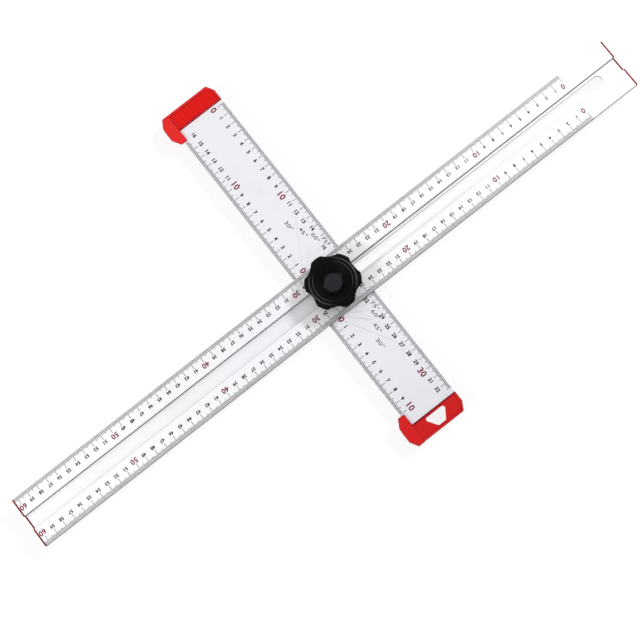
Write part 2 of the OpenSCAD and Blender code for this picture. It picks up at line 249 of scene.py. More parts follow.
def make_effect(effect: Effect) -> bpy.types.ShaderNodeTree:
    """Builds the node group of a shared effect, or finds it when it is there already.

    Args:
        effect: The effect that is wanted.

    Returns:
        The group, with a Place input, its own size inputs and the outputs Mask and Height.
    """
    found = bpy.data.node_groups.get(effect.value)
    if found:
        return found
    tree = bpy.data.node_groups.new(effect.value, "ShaderNodeTree")
    sizes = EFFECT_SIZES[effect]
    new_socket = tree.interface.new_socket
    new_socket("Place", in_out="INPUT", socket_type="NodeSocketVector")
    for name, value in sizes.inputs:
        new_socket(name, in_out="INPUT", socket_type="NodeSocketFloat").default_value = value
    for name in ("Mask", "Height"):
        new_socket(name, in_out="OUTPUT", socket_type="NodeSocketFloat")
    graph = Graph(tree)
    given = graph.add("NodeGroupInput").outputs
    place = given["Place"]
    first, second = (given[name] for name, _ in sizes.inputs)
    if effect is Effect.MOULD_GRAIN:
        height = graph.ramp(graph.noise(place, first), sizes.first_range)
        broad = graph.math("MULTIPLY_ADD", graph.noise(place, BROAD_SCALE, 3.0), second, BROAD_START)
        mask = graph.ramp(broad, sizes.second_range)
    elif effect is Effect.DRAWN_LINES:
        stretch = graph.add("ShaderNodeCombineXYZ", {0: first, 1: second, 2: LINES_UPWARD}).outputs[0]
        laid = graph.vector("MULTIPLY", place, stretch).outputs[0]
        height = graph.noise(laid, 1.0, 3.0)
        mask = graph.ramp(height, sizes.first_range)
    # Mask of the painted edge tone: where the rounded normal departs from the true one, broken into
    # patches.
    elif effect is Effect.EDGE_WEAR:
        rounded = graph.add("ShaderNodeBevel", {"Radius": first}, samples=EDGE_SAMPLES).outputs[0]
        plain = graph.add("ShaderNodeNewGeometry").outputs["Normal"]
        turn = graph.vector("DOT_PRODUCT", rounded, plain).outputs["Value"]
        height = graph.noise(place, second)
        edge = graph.ramp(turn, sizes.first_range)
        mask = graph.math("MULTIPLY", edge, graph.ramp(height, sizes.second_range))
    else:
        height = graph.noise(place, second, 5.0)
        patch = graph.ramp(graph.noise(place, first, 4.0), sizes.first_range)
        mask = graph.math("MULTIPLY", patch, graph.ramp(height, sizes.second_range))
    graph.add("NodeGroupOutput", {"Mask": mask, "Height": height})
    return tree


def use_effect(graph: Graph, effect: Effect, place: Socket, **sizes: float) -> tuple[Socket, Socket]:
    """Places a shared effect in a material.

    Args:
        graph: The material's nodes.
        effect: The effect that is wanted.
        place: The socket with the place on the piece.
        **sizes: The effect's own inputs, with _ for a space.

    Returns:
        The sockets with the effect's mask and its height.
    """
    inputs = {name.replace("_", " "): value for name, value in sizes.items()}
    node = graph.add("ShaderNodeGroup", {"Place": place, **inputs}, node_tree=make_effect(effect))
    return node.outputs["Mask"], node.outputs["Height"]


@dataclass(frozen=True)
class Finish:
    """A surface finish: its name, colour and gloss, which all finishes have."""

    name: str
    colour: Colour
    roughness: float
    metallic: float = 0.0
    specular: float = 0.5

    def material(self) -> bpy.types.Material:
        """Builds the material, or finds it when it is there already.

        Returns:
            The material.
        """
        found = bpy.data.materials.get(self.name)
        if found:
            return found
        made = bpy.data.materials.new(self.name)
        made.use_nodes = True
        made.diffuse_color = (*self.colour, 1.0)
        graph = Graph(made.node_tree)
        graph.shade("Metallic", self.metallic)
        graph.shade("Specular IOR Level", self.specular)
        self.dress(graph)
        return made

    def dress(self, graph: Graph) -> None:
        """Feeds the shader's colour, gloss and relief; each kind of finish does it its own way.

        Args:
            graph: The material's nodes.
        """
        raise NotImplementedError


@dataclass(frozen=True)
class AnodisedAlloy(Finish):
    """Satin anodised alloy with fine lines left by drawing or rolling and faint handling marks, with
    painted shade on its walls and along its length.
    """

    shade: Colour = (0.7, 0.7, 0.75)
    along_x: float = 8.0
    along_y: float = 2200.0
    line_shade: float = 0.1
    line_dulling: float = 0.06
    line_strength: float = 0.25
    line_depth: float = 0.01
    mark_shade: float = 0.12
    mark_polish: float = -0.07
    # The painted shade dip: the colour turns towards the shade near a centre along the long axis, fading
    # out over the reach.
    tone_axis: int = 0
    tone_centre: float = 0.0
    tone_reach: float = 100.0
    tone_share: float = 0.2
    # Painted wall shade: walls take the side colour, or the darker inner colour within the inner
    # half-width, and lose their metal gloss.
    wall: Flat = (0.35, 0.85)
    side: Colour = (0.34, 0.34, 0.36)
    inner_side: Colour = (0.1, 0.1, 0.11)
    inner_half: float = 0.0
    # Painted shade line round the slot, in the dark inner wall colour.
    slot_ends: Flat = (0.0, 0.0)
    slot_half: float = 0.0
    milled_width: float = 0.25
    milled_share: float = 0.8
    # Painted contact shadow: the outer walls turn dark where another piece lies close below.
    crevice: Colour = (0.015, 0.015, 0.018)
    crevice_reach: float = 0.0
    crevice_range: Flat = (0.86, 0.62)
    crevice_samples: int = 24

    def milled_edge(self, graph: Graph, parts: list[Socket]) -> Socket:
        """A painted shade line round the slot's edge.

        Args:
            graph: The material's nodes.
            parts: The place's three coordinates.

        Returns:
            The socket with the line's share.
        """
        low, high = (end * MM for end in self.slot_ends)
        nearest = graph.add("ShaderNodeClamp", {"Value": parts[0], "Min": low, "Max": high}).outputs[0]
        reach = graph.length(graph.math("SUBTRACT", parts[0], nearest), parts[1])
        away = graph.distance(reach, self.slot_half * MM)
        return graph.ramp(away, (0.0, self.milled_width * MM), (self.milled_share, 0.0))

    def outer_wall(self, graph: Graph) -> Colour | Socket:
        """The outer walls' painted shade colour, with a painted contact shadow where another piece lies
        close below.

        Args:
            graph: The material's nodes.

        Returns:
            The colour, or the socket that holds it.
        """
        if not self.crevice_reach:
            return self.side
        reach = {"Distance": self.crevice_reach * MM}
        spread = graph.add("ShaderNodeAmbientOcclusion", reach, samples=self.crevice_samples)
        return graph.blend(graph.ramp(spread.outputs["AO"], self.crevice_range), self.side, self.crevice)

    def dress(self, graph: Graph) -> None:
        """Mixes the base with its shade by lines, marks and a painted shade dip along its length, and
        paints shade on the walls, which lose their gloss.

        Args:
            graph: The material's nodes.
        """
        place = graph.place()
        parts = graph.parts(place)
        grain = {"Along_X": self.along_x, "Along_Y": self.along_y}
        lines, height = use_effect(graph, Effect.DRAWN_LINES, place, **grain)
        marks, _ = use_effect(graph, Effect.HANDLING, place)
        # Painted shade: darker towards the centre along the long axis.
        away = graph.distance(parts[self.tone_axis], self.tone_centre * MM)
        painted_shade = graph.ramp(away, (0.0, self.tone_reach * MM), (self.tone_share, 0.0))
        share = graph.plus(graph.plus(painted_shade, self.mark_shade, marks), self.line_shade, lines)
        # Painted shade on the walls: the outer walls in the side colour, the inner walls in the dark inner
        # colour.
        side = graph.ramp(graph.levelness(), self.wall, FALLING)
        across = graph.math("ABSOLUTE", parts[1 - self.tone_axis])
        inner = graph.math("LESS_THAN", across, self.inner_half * MM)
        walls = graph.blend(inner, self.outer_wall(graph), self.inner_side)
        colour = graph.blend(side, graph.blend(share, self.colour, self.shade), walls)
        # Painted shade line round the slot.
        if self.slot_half:
            colour = graph.blend(self.milled_edge(graph, parts), colour, self.inner_side)
        gloss = graph.plus(graph.plus(self.roughness, self.line_dulling, lines), self.mark_polish, marks)
        graph.shade("Base Color", colour)
        graph.shade("Metallic", graph.plus(self.metallic, -self.metallic, side))
        graph.shade("Roughness", graph.plus(gloss, 1.0 - self.roughness, side))
        graph.relief(height, self.line_strength, self.line_depth)


@dataclass(frozen=True)
class MouldedPlastic(Finish):
    """Moulded plastic with an eroded grain; what lies lower than a height may take a darker copy of the
    colour as painted shade.
    """

    low_colour: Colour | None = None
    low_height: float = 0.0
    low_blend: float = 0.1
    deeper: float = 0.86
    grain: float = 2600.0
    grain_depth: float = 0.02
    grain_strength: float = 0.35
    grain_dulling: float = 0.05
    mark_polish: float = -0.08

    def dress(self, graph: Graph) -> None:
        """Sets the colour with its slow variation, the gloss and the grain.

        Args:
            graph: The material's nodes.
        """
        place = graph.place()
        grain, height = use_effect(graph, Effect.MOULD_GRAIN, place, Grain=self.grain)
        marks, _ = use_effect(graph, Effect.HANDLING, place, Patch=40.0, Streak=260.0)
        colour = graph.blend(grain, self.colour, tuple(channel * self.deeper for channel in self.colour))
        # Painted shade: a darker copy of the colour below the low height, in the sunken panel.
        if self.low_colour:
            span = ((self.low_height - self.low_blend) * MM, (self.low_height + self.low_blend) * MM)
            colour = graph.blend(graph.ramp(graph.parts(place)[2], span, FALLING), colour, self.low_colour)
        gloss = graph.plus(self.roughness, self.mark_polish, marks)
        graph.shade("Base Color", colour)
        graph.shade("Roughness", graph.plus(gloss, self.grain_dulling, grain))
        graph.relief(height, self.grain_strength, self.grain_depth)


@dataclass(frozen=True)
class HandledPlastic(MouldedPlastic):
    """Moulded plastic whose edges take a painted tone: darker for painted shade, lighter for painted
    highlight.
    """

    # The painted edge tone: dark on the caps as painted shade, lighter on the knob as painted highlight.
    worn: Colour = (0.03, 0.03, 0.032)
    edge_width: float = 0.8
    worn_share: float = 0.9
    clean_floor: bool = False
    floor_blend: float = 0.2
    floor_wall: Flat = (0.5, 0.9)
    # Painted shadow: a strip of the dark edge tone beside the seam where the blade goes in.
    seam: Flat | None = None
    seam_core: float = 0.4
    seam_reach: float = 1.5
    seam_share: float = 0.95

    def dress(self, graph: Graph) -> None:
        """Dresses it as moulded plastic and mixes in the painted edge tone where two faces meet, and the
        painted shadow beside the seam.

        Args:
            graph: The material's nodes.
        """
        super().dress(graph)
        # Painted edge tone along the edges: painted shade on the caps, painted highlight on the knob.
        edges, _ = use_effect(graph, Effect.EDGE_WEAR, graph.place(), Width=self.edge_width * MM)
        share = graph.math("MULTIPLY", edges, self.worn_share)
        # Keeps the painted edge shade off the floor of the sunken panel.
        if self.clean_floor:
            share = graph.math("MULTIPLY", share, self.off_floor(graph))
        # Painted shadow beside the seam.
        if self.seam:
            share = graph.math("MAXIMUM", share, self.along_seam(graph))
        graph.mix_in(share, self.worn)

    def along_seam(self, graph: Graph) -> Socket:
        """A mask for the painted shadow strip beside the seam, which runs in the X direction from the
        given corner.

        Args:
            graph: The material's nodes.

        Returns:
            The socket with the mask.
        """
        corner_x, seam_y = self.seam
        x, y, _ = graph.parts(graph.place())
        span = (self.seam_core * MM, self.seam_reach * MM)
        beside = graph.ramp(graph.distance(y, seam_y * MM), span, (self.seam_share, 0.0))
        return graph.math("MULTIPLY", beside, graph.math("GREATER_THAN", x, corner_x * MM))

    def off_floor(self, graph: Graph) -> Socket:
        """A mask that is 1 on the walls and above the low height, and 0 on the floor below it.

        Args:
            graph: The material's nodes.

        Returns:
            The socket with the mask.
        """
        span = (self.low_height * MM, (self.low_height + self.floor_blend) * MM)
        above = graph.ramp(graph.parts(graph.place())[2], span)
        return graph.math("MAXIMUM", graph.ramp(graph.levelness(), self.floor_wall, FALLING), above)


@dataclass(frozen=True)
class GrippedPlastic(HandledPlastic):
    """Handled plastic with painted highlight rings round the Z axis on the two sides along X."""

    # Painted highlights: lighter rings at these radii and widths, high on the knob and on its two sides
    # along X.
    rings: tuple[Flat, ...] = ((17.4, 0.55), (20.6, 1.1))
    ring_floor: float = 29.0
    ring_rise: float = 1.0
    ring_sides: Flat = (0.45, 0.95)
    polish: Colour = (0.065, 0.065, 0.07)

    def dress(self, graph: Graph) -> None:
        """Dresses it as handled plastic and mixes in the painted highlight rings.

        Args:
            graph: The material's nodes.
        """
        super().dress(graph)
        x, y, height = graph.parts(graph.place())
        reach = graph.length(x, y)
        share = 0.0
        for radius, width in self.rings:
            ring = graph.ramp(graph.distance(reach, radius * MM), (width * MM, 0.0))
            share = graph.math("MAXIMUM", ring, share)
        side = graph.ramp(graph.math("DIVIDE", graph.math("ABSOLUTE", x), reach), self.ring_sides)
        upper = graph.ramp(height, (self.ring_floor * MM, (self.ring_floor + self.ring_rise) * MM))
        share = graph.math("MULTIPLY", graph.math("MULTIPLY", share, side), upper)
        graph.mix_in(share, self.polish)


@dataclass(frozen=True)
class TurnedMetal(Finish):
    """Plated or turned metal with fine tool rings round the clamp axis and duller patches."""

    dull: Colour = (0.4, 0.4, 0.42)
    stretch: Colour = (1.0, 1.0, 0.35)
    ring_scale: float = 6000.0
    ring_dulling: float = 0.12
    ring_strength: float = 0.3
    ring_depth: float = 0.01

    def dress(self, graph: Graph) -> None:
        """Draws the rings from the distance to the axis and mixes in the dull patches.

        Args:
            graph: The material's nodes.
        """
        place = graph.place()
        level = graph.vector("MULTIPLY", place, self.stretch).outputs[0]
        reach = graph.vector("LENGTH", level).outputs["Value"]
        inputs = {"W": reach, "Scale": self.ring_scale}
        rings = graph.add("ShaderNodeTexNoise", inputs, noise_dimensions="1D").outputs[0]
        marks, _ = use_effect(graph, Effect.HANDLING, place, Patch=120.0, Streak=500.0)
        graph.shade("Base Color", graph.blend(marks, self.colour, self.dull))
        graph.shade("Roughness", graph.plus(self.roughness, self.ring_dulling, rings))
        graph.relief(rings, self.ring_strength, self.ring_depth)


@dataclass(frozen=True)
class PrintedInk(Finish):
    """Screen-printed ink: even colour with thin places where the metal lightens it."""

    thin: Colour = (0.2, 0.2, 0.2)
    speck_scale: float = 1800.0
    speck_range: Flat = (0.55, 0.8)
    speck_share: float = 0.5
    speck_dulling: float = 0.15

    def dress(self, graph: Graph) -> None:
        """Mixes the ink with its thin tone in small specks.

        Args:
            graph: The material's nodes.
        """
        specks = graph.noise(graph.place(), self.speck_scale)
        share = graph.ramp(specks, self.speck_range, (0.0, self.speck_share))
        graph.shade("Base Color", graph.blend(share, self.colour, self.thin))
        graph.shade("Roughness", graph.plus(self.roughness, self.speck_dulling, specks))


# Each alloy has a painted shade dip along its length and painted shade on its walls; the rule's walls also
# get a painted contact shadow.
RULE_ALLOY = AnodisedAlloy(
    "rule_anodising", (0.97, 0.97, 0.98), 0.42, 0.3, 0.35,
    shade=(0.74, 0.72, 0.79), tone_centre=-50.0, tone_reach=240.0, tone_share=0.35,
    side=(0.6, 0.6, 0.63), inner_half=12.0, slot_ends=(-6.5, 294.5), slot_half=4.5, crevice_reach=13.0,
)
BLADE_ALLOY = AnodisedAlloy(
    "blade_anodising", (0.83, 0.83, 0.87), 0.42, 0.3, 0.35,
    shade=(0.61, 0.6, 0.66), along_x=2200.0, along_y=8.0,
    tone_axis=1, tone_centre=-140.0, tone_reach=120.0, tone_share=0.36,
)
# The hook caps: their sunken panels take a darker copy of the red as painted shade, their edges a dark
# painted edge shade, and the lower cap a painted shadow beside its seam.
UPPER_RED = HandledPlastic(
    "upper_cap_red", from_screen(240, 46, 44), 0.42, specular=0.12,
    low_colour=from_screen(224, 24, 20), low_height=4.65,
    worn=from_screen(140, 14, 30), edge_width=1.4, worn_share=1.0,
)
LOWER_RED = HandledPlastic(
    "lower_cap_red", from_screen(218, 32, 33), 0.42, specular=0.12,
    low_colour=from_screen(206, 30, 30), low_height=4.65,
    worn=from_screen(125, 12, 26), edge_width=1.4, worn_share=1.0, clean_floor=True, seam=(-22.0, -137.8),
)
# The end caps: a darker copy of the caps' red as painted shade, with a dark painted edge shade.
SHADED_END_RED = HandledPlastic(
    "end_cap_red_painted_shade", from_screen(158, 24, 34), 0.42, specular=0.08,
    worn=from_screen(58, 8, 16), edge_width=1.0, worn_share=1.0,
)
# The knob's lighter edge tone and its rings are painted highlights.
KNOB_BLACK = GrippedPlastic("knob_black", (0.0012, 0.0012, 0.0016), 0.34, specular=0.06, grain=1800.0)
PLUG_GREY = MouldedPlastic("plug_grey", (0.014, 0.013, 0.017), 0.5, specular=0.15)
SLIDE_GREY = MouldedPlastic("slide_grey", (0.03, 0.03, 0.034), 0.4, specular=0.4)
ZINC_STEEL = TurnedMetal("zinc_steel", (0.62, 0.63, 0.66), 0.26, 1.0)
TURNED_BRASS = TurnedMetal("turned_brass", (0.78, 0.57, 0.24), 0.24, 1.0, dull=(0.5, 0.36, 0.16))
BLACK_INK = PrintedInk("black_ink", (0.004, 0.004, 0.005), 0.4, specular=0.08, thin=(0.02, 0.02, 0.024))
CRIMSON_INK = PrintedInk(
    "crimson_ink", from_screen(124, 0, 50), 0.4, specular=0.1, thin=from_screen(136, 16, 66),
)
PLUM_INK = PrintedInk(
    "plum_ink", from_screen(96, 58, 76), 0.4, specular=0.15, thin=from_screen(150, 105, 125),
)
GREY_INK = PrintedInk(
    "grey_ink", from_screen(150, 150, 160), 0.4, specular=0.15, thin=from_screen(190, 190, 198),
)
FAINT_INK = PrintedInk(
    "faint_ink", from_screen(200, 200, 208), 0.4, specular=0.15, thin=from_screen(215, 215, 222),
)


def new_object(name: str, data: bpy.types.ID) -> bpy.types.Object:
    """Adds an object that shows a mesh, a lamp, a camera or a text to the scene.

    Args:
        name: The object's name.
        data: What it shows.

    Returns:
        The new object.
    """
    made = bpy.data.objects.new(name, data)
    bpy.context.scene.collection.objects.link(made)
    return made


def place_piece(
    bm: BMesh,
    name: str,
    body: str,
    finish: Finish,
    replaced: Iterable[str] = (),
    crease: float = 38.0,
) -> None:
    """Turns a mesh shaped in millimetres into a piece that rides on a CAD body.

    Args:
        bm: The shape; it is freed here.
        name: The piece's name.
        body: The CAD body that it rides on.
        finish: Its finish.
        replaced: The CAD nodes that it stands for.
        crease: The angle in degrees above which an edge stays sharp.
    """
    bmesh.ops.recalc_face_normals(bm, faces=bm.faces)
    bmesh.ops.scale(bm, vec=(MM, MM, MM), verts=bm.verts)
    for face in bm.faces:
        face.smooth = True
    mesh = bpy.data.meshes.new(name)
    bm.to_mesh(mesh)
    bm.free()
    mesh.set_sharp_from_angle(angle=math.radians(crease))
    mesh.materials.append(finish.material())
    piece = new_object(name, mesh)
    shading = piece.modifiers.new("even_shading", "WEIGHTED_NORMAL")
    shading.keep_sharp = True
    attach(piece, body)
    nodes = list(replaced)
    if nodes:
        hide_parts(*nodes)
    LOG.info("%s: %d faces on %s", name, len(mesh.polygons), body)


def place_copy(
    node: str,
    name: str,
    body: str,
    finish: Finish,
    slot: str,
    bevel: float,
    segments: int = 2,
    shortest: float = 0.0,
) -> None:
    """Copies a CAD node, joins its loose triangles, rounds its sharp edges and places it as a piece.

    Args:
        node: The CAD node, which the piece stands for.
        name: The piece's name.
        body: The CAD body that it rides on.
        finish: Its finish.
        slot: The record's material slot; not used.
        bevel: The width of the rounding in millimetres.
        segments: The rounding's steps.
        shortest: Edges no longer than this stay sharp, such as those of a small round pocket.
    """
    bm = bmesh.new()
    bm.from_mesh(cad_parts[node].data)
    bmesh.ops.scale(bm, vec=(1 / MM, 1 / MM, 1 / MM), verts=bm.verts)
    bmesh.ops.remove_doubles(bm, verts=bm.verts, dist=JOIN_REACH)
    bmesh.ops.dissolve_limit(bm, angle_limit=FLAT_ANGLE, verts=bm.verts, edges=bm.edges)
    sharp = [edge for edge in bm.edges if edge.is_manifold and edge.calc_face_angle(0.0) > SHARP_ANGLE]
    edges = [edge for edge in sharp if edge.calc_length() > shortest]
    bmesh.ops.bevel(
        bm, geom=edges, offset=bevel, segments=segments, profile=0.5, affect="EDGES", material=-1,
        clamp_overlap=False,
    )
    place_piece(bm, name, body, finish, [node])


class Outline(Enum):
    """How a turned piece's ring departs from a circle."""

    ROUND = "round"
    LOBED = "lobed"
    HEXAGON = "hexagon"
    THREAD = "thread"


@dataclass(frozen=True)
class Ring:
    """One ring of a turned shape: its radius, its height and its outline."""

    radius: float
    height: float
    outline: Outline = Outline.ROUND


Shaper = Callable[[Ring, float], float]


def turned(rings: list[Ring], segments: int, shaper: Shaper | None = None, hollow: bool = True) -> BMesh:
    """Draws a circle out through a list of rings about the clamp axis.

    Args:
        rings: The rings in order along the surface.
        segments: The number of points on a ring.
        shaper: Gives the radius at an angle for rings that are not round.
        hollow: True to join the last ring to the first, False to close both with a face.

    Returns:
        The new shape.
    """
    bm = bmesh.new()
    verts = bmesh.ops.create_circle(bm, radius=1.0, segments=segments)["verts"]
    first = edges = list(bm.edges)

    def settle(ring_verts: Iterable[BMVert], ring: Ring) -> None:
        """Puts a circle's points on their ring.

        Args:
            ring_verts: The points.
            ring: The ring.
        """
        for vert in ring_verts:
            angle = math.atan2(vert.co.y, vert.co.x)
            reach = shaper(ring, angle) if shaper else ring.radius
            vert.co = Vector((reach * math.cos(angle), reach * math.sin(angle), ring.height))

    settle(verts, rings[0])
    for ring in rings[1:]:
        drawn = bmesh.ops.extrude_edge_only(bm, edges=edges)["geom"]
        edges = [item for item in drawn if isinstance(item, bmesh.types.BMEdge)]
        settle({vert for edge in edges for vert in edge.verts}, ring)
        edges = [edge for edge in edges if len(edge.link_faces) == 1]
    if hollow:
        bmesh.ops.bridge_loops(bm, edges=first + edges)
    else:
        bmesh.ops.holes_fill(bm, edges=first, sides=0)
        bmesh.ops.holes_fill(bm, edges=edges, sides=0)
    return bm


def arc(centre: Flat, radius: float, start: float, end: float, steps: int) -> list[Flat]:
    """Points on an arc in a half section.

    Args:
        centre: The arc's centre, as distance from the axis and height.
        radius: The arc's radius.
        start: The first point's angle in degrees, 0 outwards and 90 up.
        end: The last point's angle in degrees.
        steps: The number of steps between them.

    Returns:
        The points, as distance from the axis and height.
    """
    out, up = centre
    angles = [math.radians(start + (end - start) * step / steps) for step in range(steps + 1)]
    return [(out + radius * math.cos(angle), up + radius * math.sin(angle)) for angle in angles]


def straight(start: Flat, end: Flat, steps: int) -> list[Flat]:
    """The points of a straight line cut into equal steps, both ends with it."""
    return [
        (start[0] + (end[0] - start[0]) * step / steps, start[1] + (end[1] - start[1]) * step / steps)
        for step in range(steps + 1)
    ]


def outward(vert: BMVert) -> Vector:
    """The way a corner of a flat outline moves when each edge beside it moves out by one.

    Args:
        vert: A vertex of faces that lie flat and face up.

    Returns:
        The shift, which is nothing for a vertex without exactly two outline edges.
    """
    normals = []
    for edge in vert.link_edges:
        if edge.is_boundary:
            loop = edge.link_loops[0]
            run = (loop.link_loop_next.vert.co - loop.vert.co).normalized()
            normals.append(Vector((run.y, -run.x, 0.0)))
    if len(normals) != 2:
        return Vector()
    first, second = normals
    return (first + second) / max(1.0 + first.dot(second), MITRE_LIMIT)


@dataclass
class Lettering:
    """Makes numerals as thin closed slabs and keeps each one for its next use."""

    resolution: int = 3
    spacing: float = 1.05
    join_reach: float = 0.00001
    facing_up: float = 0.5
    kept: dict[tuple[str, float, float, float], Mesh] = field(default_factory=dict)

    def slab(self, text: str, height: float, widen: float, weight: float) -> Mesh:
        """Gives a label's mesh, centred on the origin and one millimetre thick.

        Args:
            text: The label.
            height: The numerals' height in millimetres.
            widen: The stretch along the line of text.
            weight: How much each stroke is thickened, as a share of the type size.

        Returns:
            The mesh, which the caller copies.
        """
        key = (text, height, widen, weight)
        if key in self.kept:
            return self.kept[key]
        curve = bpy.data.curves.new("label", "FONT")
        curve.body = text
        curve.size = 1.0
        curve.resolution_u = self.resolution
        curve.space_character = self.spacing
        curve.extrude = 0.5
        holder = new_object("label", curve)
        solved = holder.evaluated_get(bpy.context.evaluated_depsgraph_get())
        mesh = bpy.data.meshes.new_from_object(solved)
        bpy.data.objects.remove(holder)
        bpy.data.curves.remove(curve)
        self.thicken(mesh, weight)
        low = Vector(min(vert.co[axis] for vert in mesh.vertices) for axis in range(3))
        high = Vector(max(vert.co[axis] for vert in mesh.vertices) for axis in range(3))
        share = height / (high.y - low.y)
        mesh.transform(Matrix.Translation((low + high) / -2))
        mesh.transform(Matrix.Diagonal((share * widen, share, 1.0, 1.0)))
        self.kept[key] = mesh
        return mesh

    def thicken(self, mesh: Mesh, weight: float) -> None:
        """Draws the strokes outwards all round and makes the slab anew from their top faces.

        Args:
            mesh: The label's mesh, one unit thick.
            weight: How far each outline moves, as a share of the type size.
        """
        bm = bmesh.new()
        bm.from_mesh(mesh)
        bmesh.ops.remove_doubles(bm, verts=bm.verts, dist=self.join_reach)
        bm.normal_update()
        others = [face for face in bm.faces if face.normal.z < self.facing_up]
        bmesh.ops.delete(bm, geom=others, context="FACES")
        shifts = [(vert, outward(vert)) for vert in bm.verts]
        for vert, shift in shifts:
            vert.co += shift * weight
        drawn = bmesh.ops.extrude_face_region(bm, geom=list(bm.faces))["geom"]
        verts = [item for item in drawn if isinstance(item, BMVert)]
        bmesh.ops.translate(bm, vec=(0.0, 0.0, -1.0), verts=verts)
        bmesh.ops.recalc_face_normals(bm, faces=bm.faces)
        bm.to_mesh(mesh)
        bm.free()

    def clear(self) -> None:
        """Removes the kept meshes from the file."""
        for mesh in self.kept.values():
            bpy.data.meshes.remove(mesh)
        self.kept.clear()


@dataclass
class PrintLayer:
    """Everything printed in one ink on one face."""

    level: float
    lettering: Lettering
    weight: float = 0.042
    sink: float = 0.01
    proud: float = 0.03
    join_reach: float = 0.0002
    shape: BMesh = field(default_factory=bmesh.new)

    def slab_matrix(self, centre: Flat, right: Flat, across: float, along: float) -> Matrix:
        """The matrix that lays a unit slab on the face.

        Args:
            centre: The slab's centre.
            right: The direction of the slab's own X axis.
            across: Its size along that direction.
            along: Its size at right angles to it.

        Returns:
            The matrix from the unit slab to its place.
        """
        turn = Matrix(((right[0], -right[1], 0.0), (right[1], right[0], 0.0), (0.0, 0.0, 1.0))).to_4x4()
        middle = self.level + (self.proud - self.sink) / 2
        size = Matrix.Diagonal((across, along, self.proud + self.sink, 1.0))
        return Matrix.Translation((centre[0], centre[1], middle)) @ turn @ size

    def line(self, start: Flat, end: Flat, width: float) -> None:
        """Prints a straight line.

        Args:
            start: One end.
            end: The other end.
            width: The line's width.
        """
        run = Vector(end) - Vector(start)
        centre = (Vector(start) + Vector(end)) / 2
        matrix = self.slab_matrix(tuple(centre), tuple(run.normalized()), run.length, width)
        bmesh.ops.create_cube(self.shape, size=1.0, matrix=matrix)

    def label(self, text: str, centre: Flat, right: Flat, height: float, widen: float = 1.0) -> None:
        """Prints a label.

        Args:
            text: The label.
            centre: Its centre.
            right: The direction in which it reads.
            height: The numerals' height.
            widen: The stretch along the line of text.
        """
        mesh = self.lettering.slab(text, height, widen, self.weight).copy()
        mesh.transform(self.slab_matrix(centre, right, 1.0, 1.0))
        self.shape.from_mesh(mesh)
        bpy.data.meshes.remove(mesh)

    def finish(self, name: str, body: str, ink: Finish) -> None:
        """Joins the slabs' seams and places the print as one piece."""
        bmesh.ops.remove_doubles(self.shape, verts=self.shape.verts, dist=self.join_reach)
        place_piece(self.shape, name, body, ink)


@dataclass(frozen=True)
class ScaleEdge:
    """A centimetre scale printed along one edge."""

    zero: Flat
    run: Flat
    inward: Flat
    reading: Flat
    centimetres: int
    inset: float = 0.2
    tick_width: float = 0.45
    short_tick: float = 3.5
    half_tick: float = 4.7
    whole_tick: float = 7.7
    numeral_gap: float = 8.5
    numeral_height: float = 3.3
    tens_height: float = 5.0
    last_tick: int | None = None
    nudged: tuple[int, ...] = ()
    nudge: float = 2.0
    zero_nudge: float = 0.0
    blank: tuple[int, ...] = ()

    def at(self, along: float, across: float) -> Flat:
        """The point that lies so far along the scale and so far in from its edge."""
        return (
            self.zero[0] + self.run[0] * along + self.inward[0] * across,
            self.zero[1] + self.run[1] * along + self.inward[1] * across,
        )

    def tick_length(self, mark: int) -> float:
        """How far in from the edge a mark reaches.

        Args:
            mark: The mark's number, in millimetres from zero.

        Returns:
            The distance in millimetres.
        """
        if mark % 10 == 0:
            return self.whole_tick
        return self.half_tick if mark % 5 == 0 else self.short_tick

    def draw(self, black: PrintLayer, crimson: PrintLayer) -> None:
        """Prints the ticks and the numerals.

        Args:
            black: The layer of the ticks and the small numerals.
            crimson: The layer of the zero and the tens.
        """
        last = 10 * self.centimetres if self.last_tick is None else self.last_tick
        for mark in range(last + 1):
            black.line(self.at(mark, self.inset), self.at(mark, self.tick_length(mark)), self.tick_width)
        for number in range(self.centimetres + 1):
            if number in self.blank:
                continue
            along = 10.0 * number
            tens = number % 10 == 0
            height = self.tens_height if tens else self.numeral_height
            shift = self.nudge if number in self.nudged else 0.0
            place = along if number else self.zero_nudge
            centre = self.at(place, self.numeral_gap + height / 2 - shift)
            (crimson if tens else black).label(str(number), centre, self.reading, height)


@dataclass
class LongRule:
    """The slotted rule with its two printed strips and its end caps."""

    half_width: float = 25.0
    top: float = 9.4
    zero_x: float = 269.0
    length_cm: int = 60
    last_tick: int = 603
    zero_nudge: float = 2.2
    bevel: float = 0.12
    cap_bevel: float = 0.25

    def build(self, lettering: Lettering) -> None:
        """Builds the section, its print and both end caps.

        Args:
            lettering: The maker of the numerals.
        """
        place_copy("long_rule", "rule_section", "rule", RULE_ALLOY, "rule_alloy", self.bevel)
        black = PrintLayer(self.top, lettering)
        crimson = PrintLayer(self.top, lettering, TENS_WEIGHT)
        for side in (1.0, -1.0):
            edge = ScaleEdge(
                (self.zero_x, side * self.half_width), (-1.0, 0.0), (0.0, -side), (-1.0, 0.0),
                self.length_cm, last_tick=self.last_tick, zero_nudge=self.zero_nudge,
            )
            edge.draw(black, crimson)
        black.finish("rule_scale_black", "rule", BLACK_INK)
        crimson.finish("rule_scale_crimson", "rule", CRIMSON_INK)
        for node in ("zero_end_cap", "far_end_cap"):
            place_copy(node, f"{node}_moulding", "rule", SHADED_END_RED, "deep_red_plastic", self.cap_bevel)


